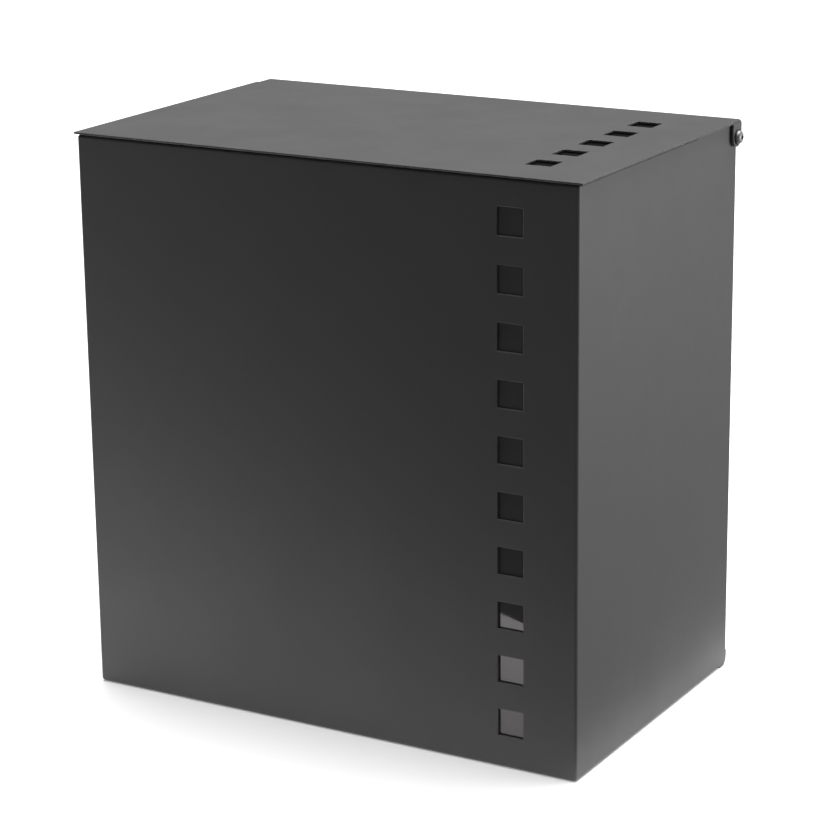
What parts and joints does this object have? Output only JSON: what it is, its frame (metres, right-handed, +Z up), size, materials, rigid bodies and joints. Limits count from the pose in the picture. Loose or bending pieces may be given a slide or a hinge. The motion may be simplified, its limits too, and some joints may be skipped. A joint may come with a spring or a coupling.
{
  "type": "parcel drop box",
  "caption": "Folded sheet-steel parcel box with a rear-hinged flat lid, a column of small square smoked windows on the front that carries on across the lid, and stand-off wall fixings.",
  "frame": {"origin": "bottom centre of the whole box, with the wall spacers and the hinge screw heads included", "axes": "+Z up; the front with its windows faces -Y and the wall side faces +Y; +X is the window side, to the right as seen from the front"},
  "size_m": [0.4188, 0.2736, 0.4255],
  "materials": {
    "graphite_coat": "fine-textured satin powder coat, graphite grey",
    "smoked_acrylic": "polished smoked acrylic",
    "bonding_tape": "black foam bonding tape",
    "moulded_spacer": "moulded nylon, light grain",
    "black_nylon": "smooth black nylon",
    "rubber": "soft black rubber",
    "stainless": "stainless, turned",
    "zinc_steel": "bright zinc plate"
  },
  "bodies": {
    "box": {"body_shell": "graphite_coat", "floor_panel": "graphite_coat", "back_panel": "graphite_coat", "front_window_pane": "smoked_acrylic", "front_pane_tape": "bonding_tape", "wall_spacer_lower_left": "moulded_spacer", "wall_spacer_lower_right": "moulded_spacer", "wall_spacer_upper_left": "moulded_spacer", "wall_spacer_upper_right": "moulded_spacer", "lid_buffer_left": "rubber", "hinge_screw_left": "stainless", "head_washer_left": "black_nylon", "hinge_bush_left": "black_nylon", "inner_washer_left": "zinc_steel", "lock_nut_left": "zinc_steel", "lid_buffer_right": "rubber", "hinge_screw_right": "stainless", "head_washer_right": "black_nylon", "hinge_bush_right": "black_nylon", "inner_washer_right": "zinc_steel", "lock_nut_right": "zinc_steel"},
    "lid": {"lid_panel": "graphite_coat", "lid_stiffener": "graphite_coat", "lid_window_pane": "smoked_acrylic", "lid_pane_tape": "bonding_tape"}
  },
  "joints": [
    {"name": "lid_hinge", "type": "hinge", "parent": "box", "child": "lid", "pos_m": [0, 0.1164, 0.4135], "axis": [-1, 0, 0], "range_deg": [0, 118]}
  ]
}
